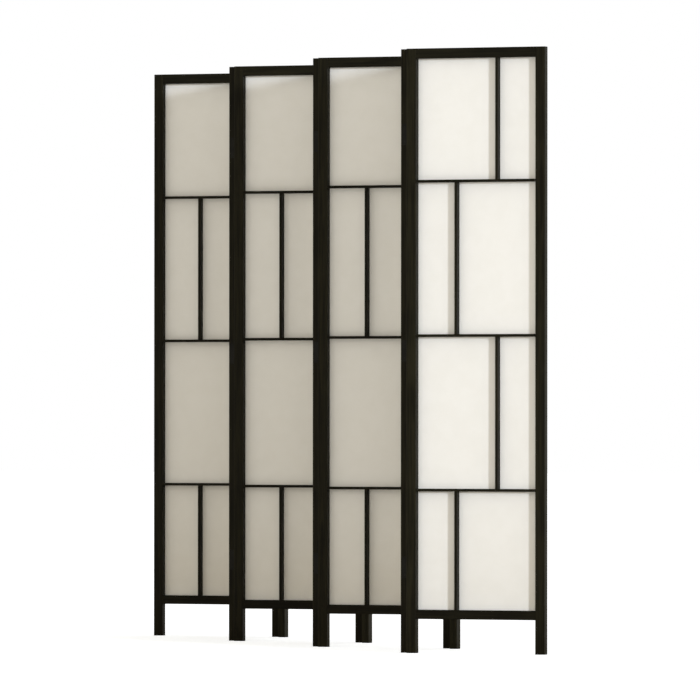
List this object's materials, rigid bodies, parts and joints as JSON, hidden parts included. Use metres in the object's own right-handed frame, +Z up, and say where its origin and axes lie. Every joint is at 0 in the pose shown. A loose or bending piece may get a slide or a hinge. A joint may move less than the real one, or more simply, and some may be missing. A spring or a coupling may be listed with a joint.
{
  "type": "folding room divider screen",
  "caption": "Zigzag folding room divider with dark timber frames, staggered lattice bars over translucent paper, and legs that stand on the floor.",
  "frame": {"origin": "on the floor at the middle of the footprint of the half-folded zigzag", "axes": "+Z up; panels 1, 3, 5 and 7 run along +X with their fronts towards -Y; panels 2, 4 and 6 run along -Y"},
  "size_m": [1.7578, 1.3648, 1.7],
  "materials": {
    "stained_wood": "near-black brown stain, satin, fine straight grain",
    "screen_paper": "matt off-white translucent fibre paper",
    "black_steel": "black coated steel, low sheen"
  },
  "bodies": {
    "panel_1": {"panel_1_left_stile": "stained_wood", "panel_1_right_stile": "stained_wood", "panel_1_bottom_rail": "stained_wood", "panel_1_top_rail": "stained_wood", "panel_1_lattice": "stained_wood", "panel_1_sheet": "screen_paper", "panel_1_beads": "stained_wood", "panel_1_hinges": "black_steel"},
    "panel_2": {"panel_2_left_stile": "stained_wood", "panel_2_right_stile": "stained_wood", "panel_2_bottom_rail": "stained_wood", "panel_2_top_rail": "stained_wood", "panel_2_lattice": "stained_wood", "panel_2_sheet": "screen_paper", "panel_2_beads": "stained_wood", "panel_2_hinges": "black_steel"},
    "panel_3": {"panel_3_left_stile": "stained_wood", "panel_3_right_stile": "stained_wood", "panel_3_bottom_rail": "stained_wood", "panel_3_top_rail": "stained_wood", "panel_3_lattice": "stained_wood", "panel_3_sheet": "screen_paper", "panel_3_beads": "stained_wood", "panel_3_hinges": "black_steel"},
    "panel_4": {"panel_4_left_stile": "stained_wood", "panel_4_right_stile": "stained_wood", "panel_4_bottom_rail": "stained_wood", "panel_4_top_rail": "stained_wood", "panel_4_lattice": "stained_wood", "panel_4_sheet": "screen_paper", "panel_4_beads": "stained_wood", "panel_4_hinges": "black_steel"},
    "panel_5": {"panel_5_left_stile": "stained_wood", "panel_5_right_stile": "stained_wood", "panel_5_bottom_rail": "stained_wood", "panel_5_top_rail": "stained_wood", "panel_5_lattice": "stained_wood", "panel_5_sheet": "screen_paper", "panel_5_beads": "stained_wood", "panel_5_hinges": "black_steel"},
    "panel_6": {"panel_6_left_stile": "stained_wood", "panel_6_right_stile": "stained_wood", "panel_6_bottom_rail": "stained_wood", "panel_6_top_rail": "stained_wood", "panel_6_lattice": "stained_wood", "panel_6_sheet": "screen_paper", "panel_6_beads": "stained_wood", "panel_6_hinges": "black_steel"},
    "panel_7": {"panel_7_left_stile": "stained_wood", "panel_7_right_stile": "stained_wood", "panel_7_bottom_rail": "stained_wood", "panel_7_top_rail": "stained_wood", "panel_7_lattice": "stained_wood", "panel_7_sheet": "screen_paper", "panel_7_beads": "stained_wood", "panel_7_hinges": "black_steel"}
  },
  "joints": [
    {"name": "fold_1", "type": "hinge", "parent": "panel_2", "child": "panel_1", "pos_m": [-0.4619, 0.6571, 0.85], "axis": [0, 0, 1], "range_deg": [-90, 90]},
    {"name": "fold_2", "type": "hinge", "parent": "panel_3", "child": "panel_2", "pos_m": [-0.4333, 0.2381, 0.85], "axis": [0, 0, -1], "range_deg": [-90, 90]},
    {"name": "fold_3", "type": "hinge", "parent": "panel_4", "child": "panel_3", "pos_m": [-0.0143, 0.2095, 0.85], "axis": [0, 0, 1], "range_deg": [-90, 90]},
    {"name": "fold_4", "type": "hinge", "parent": "panel_4", "child": "panel_5", "pos_m": [0.0143, -0.2095, 0.85], "axis": [0, 0, 1], "range_deg": [-90, 90]},
    {"name": "fold_5", "type": "hinge", "parent": "panel_5", "child": "panel_6", "pos_m": [0.4333, -0.2381, 0.85], "axis": [0, 0, -1], "range_deg": [-90, 90]},
    {"name": "fold_6", "type": "hinge", "parent": "panel_6", "child": "panel_7", "pos_m": [0.4619, -0.6571, 0.85], "axis": [0, 0, 1], "range_deg": [-90, 90]}
  ]
}
